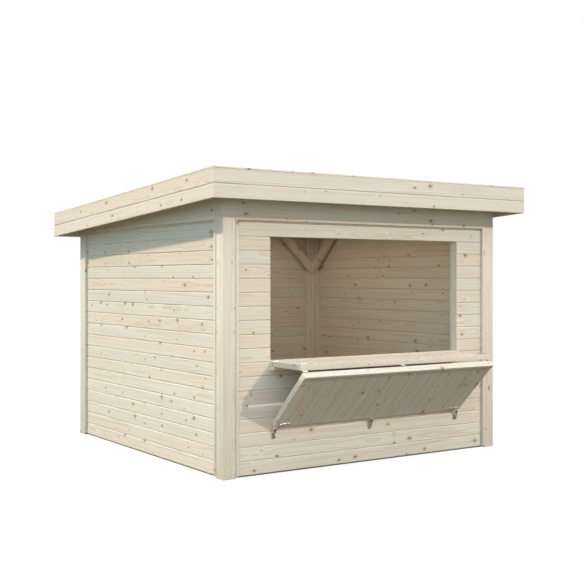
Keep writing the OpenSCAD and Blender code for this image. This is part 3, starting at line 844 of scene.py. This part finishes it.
class STALL_OT_ironwork(bpy.types.Operator):
    """Eases the hinges, hasps, loops and barrel bolts, and sets their screws"""

    bl_idname = "stall.ironwork"
    bl_label = "Hinges, hasps and bolts"

    def execute(self, context):
        level, flat = Matrix.Identity(4), unfolded()
        screwed = {
            "counter_hinge_leaves": (level, -Z),
            "flap_hinge_leaves": (flat, -Z),
            "hasp_leaves": (flat, -Y),
            "hasp_loops": (level, -Y),
            "counter_bolt_plates": (level, Z),
            "flap_bolt_plates": (flat, Z),
        }
        for node in ["sill_hinge_leaves", *screwed, *HASPS, *BOLTS]:
            bm = node_copy(node)
            if node in screwed:
                self.screws(node, bm, *screwed[node])
            ease_arrises(bm, 0.0004, 1)
            finish_piece(node + "_zinc", bm, "zinc_plate", body_of(node), [node])
        return {"FINISHED"}

    @staticmethod
    def screws(node, bm, turn, out):
        """Screws in the four corners of every plate that faces one way after a turn."""
        sizes = bpy.context.scene.stall_timber
        back = turn.inverted()
        along = X if abs(out.x) < 0.5 else Y
        across = out.cross(along)
        heads = bmesh.new()
        bm.faces.index_update()
        for group in islands(bm):
            faces = {f for v in group for f in v.link_faces}
            facing = [f for f in faces if (turn.to_3x3() @ f.normal).dot(out) > 0.999]
            if not facing:
                continue
            widest = largest(facing, lambda f: f.calc_area())
            level = (turn @ widest.verts[0].co).dot(out)
            points = [turn @ v.co for f in facing for v in f.verts
                      if abs((turn @ v.co).dot(out) - level) < WELD * 5]
            ends = [[pick(p.dot(way) for p in points) for pick in (min, max)] for way in (along, across)]
            inset = sizes.screw_inset
            for a in (ends[0][0] + inset, ends[0][1] - inset):
                for b in (ends[1][0] + inset * 0.6, ends[1][1] - inset * 0.6):
                    spot = along * a + across * b + out * level
                    add_head(heads, back @ axes(spot, along, across), sizes.screw_radius, 0.0014, 12, 0.0008)
        finish_piece(node + "_screws", heads, "zinc_plate", body_of(node))


class STALL_OT_stage(bpy.types.Operator):
    """Sets up the floor, the lamps, the ambient light and the camera"""

    bl_idname = "stall.stage"
    bl_label = "Stage"

    def execute(self, context):
        stage = context.scene.stall_stage
        scene = context.scene
        scene.view_settings.view_transform = "Standard"

        bm = bmesh.new()
        bmesh.ops.create_grid(bm, x_segments=1, y_segments=1, size=stage.floor_size / 2)
        mesh = bpy.data.meshes.new("floor")
        bm.to_mesh(mesh)
        bm.free()
        floor = bpy.data.objects.new("floor", mesh)
        scene.collection.objects.link(floor)
        mesh.materials.append(self.floor_material(stage))

        camera = bpy.data.cameras.new("camera")
        camera.lens = stage.lens
        camera.sensor_width = 36.0
        camera.shift_y = stage.shift
        camera.clip_end = 200.0
        holder = bpy.data.objects.new("camera", camera)
        holder.location = stage.eye
        holder.rotation_euler = (math.radians(90), 0, -stage.yaw)
        scene.collection.objects.link(holder)
        scene.camera = holder

        for name, strength, color, azimuth, elevation, width in LAMPS:
            self.sun(name, getattr(stage, strength), color, azimuth, elevation, width)
        self.room_lamp(stage.inside)
        self.ambient(stage)
        return {"FINISHED"}

    @staticmethod
    def room_lamp(power):
        """A wide lamp just below the roof that lights the room inside."""
        low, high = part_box("base_rails")
        lamp = bpy.data.lights.new("lamp_inside", "AREA")
        lamp.shape = "RECTANGLE"
        lamp.size = (high.x - low.x) * ROOM_LAMP_SHARE
        lamp.size_y = (high.y - low.y) * ROOM_LAMP_SHARE
        lamp.energy = power
        lamp.color = ROOM_LAMP_COLOR
        holder = bpy.data.objects.new("lamp_inside", lamp)
        middle = (low + high) / 2
        holder.location = (middle.x, middle.y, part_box("post_front_left")[1].z - ROOM_LAMP_DROP)
        holder.visible_camera = False
        bpy.context.scene.collection.objects.link(holder)

    @staticmethod
    def sun(name, strength, color, azimuth, elevation, width):
        """A far lamp, turned from straight in front of the serving side and raised, in degrees."""
        lamp = bpy.data.lights.new(name, "SUN")
        lamp.energy = strength
        lamp.color = color
        lamp.angle = math.radians(width)
        holder = bpy.data.objects.new(name, lamp)
        turn, rise = math.radians(azimuth), math.radians(elevation)
        towards = Vector((math.sin(turn) * math.cos(rise), -math.cos(turn) * math.cos(rise), math.sin(rise)))
        holder.rotation_euler = towards.to_track_quat("Z", "Y").to_euler()
        bpy.context.scene.collection.objects.link(holder)

    @staticmethod
    def floor_material(stage):
        """A pale floor that shows white in the picture but keeps a light shadow."""
        paint = Paint("pale_floor", specular=0.0)
        path = paint.node("ShaderNodeLightPath")
        seen = Value(paint, path.socket.node.outputs["Is Camera Ray"])
        paint.finish(paint.mix(seen, tuple(stage.floor_bounce), tuple(stage.floor_color)), 1.0)
        glow = paint.node("ShaderNodeEmission", {}, {"Color": (1, 1, 1, 1), "Strength": 1.15})
        blend = paint.node("ShaderNodeMixShader", {}, {0: seen * 0.75})
        nodes = paint.tree.nodes
        paint.tree.links.new(paint.shader.outputs[0], blend.socket.node.inputs[1])
        paint.tree.links.new(glow.socket, blend.socket.node.inputs[2])
        paint.tree.links.new(blend.socket, nodes["Material Output"].inputs["Surface"])
        return paint.material

    @staticmethod
    def ambient(stage):
        """Light from all round, with a white background behind the stall."""
        world = bpy.data.worlds.new("ambient")
        bpy.context.scene.world = world
        world.use_nodes = True
        tree = world.node_tree
        tree.nodes.clear()
        path = tree.nodes.new("ShaderNodeLightPath")
        most = tree.nodes.new("ShaderNodeMath")
        most.operation = "MAXIMUM"
        tree.links.new(path.outputs["Is Camera Ray"], most.inputs[0])
        tree.links.new(path.outputs["Is Transmission Ray"], most.inputs[1])
        light = tree.nodes.new("ShaderNodeBackground")
        light.inputs["Color"].default_value = stage.sky_color
        light.inputs["Strength"].default_value = stage.sky
        white = tree.nodes.new("ShaderNodeBackground")
        white.inputs["Color"].default_value = (1, 1, 1, 1)
        blend = tree.nodes.new("ShaderNodeMixShader")
        output = tree.nodes.new("ShaderNodeOutputWorld")
        tree.links.new(most.outputs[0], blend.inputs[0])
        tree.links.new(light.outputs[0], blend.inputs[1])
        tree.links.new(white.outputs[0], blend.inputs[2])
        tree.links.new(blend.outputs[0], output.inputs["Surface"])


OPERATORS = [STALL_OT_finishes, STALL_OT_walls, STALL_OT_timbers, STALL_OT_roof, STALL_OT_fascia,
             STALL_OT_hatch, STALL_OT_ironwork, STALL_OT_stage]
GROUPS = {"stall_timber": StallTimber, "stall_finish": StallFinish, "stall_stage": StallStage}


class STALL_PT_panel(bpy.types.Panel):
    """Lists the pieces of the stall and the sizes and colours that they read"""

    bl_idname = "STALL_PT_panel"
    bl_label = "Market stall"
    bl_space_type = "VIEW_3D"
    bl_region_type = "UI"
    bl_category = "Stall"

    def draw(self, context):
        for operator in OPERATORS:
            self.layout.operator(operator.bl_idname)
        for name, group in GROUPS.items():
            column = self.layout.column(align=True)
            for field in group.__annotations__:
                column.prop(getattr(context.scene, name), field)


def register():
    for item in [*GROUPS.values(), *OPERATORS, STALL_PT_panel]:
        bpy.utils.register_class(item)
    for name, group in GROUPS.items():
        setattr(bpy.types.Scene, name, PointerProperty(type=group))


def unregister():
    for name in GROUPS:
        delattr(bpy.types.Scene, name)
    for item in reversed([*GROUPS.values(), *OPERATORS, STALL_PT_panel]):
        bpy.utils.unregister_class(item)


def main():
    register()
    for operator in OPERATORS:
        group, name = operator.bl_idname.split(".")
        getattr(getattr(bpy.ops, group), name)()


if __name__ == "__main__":
    main()
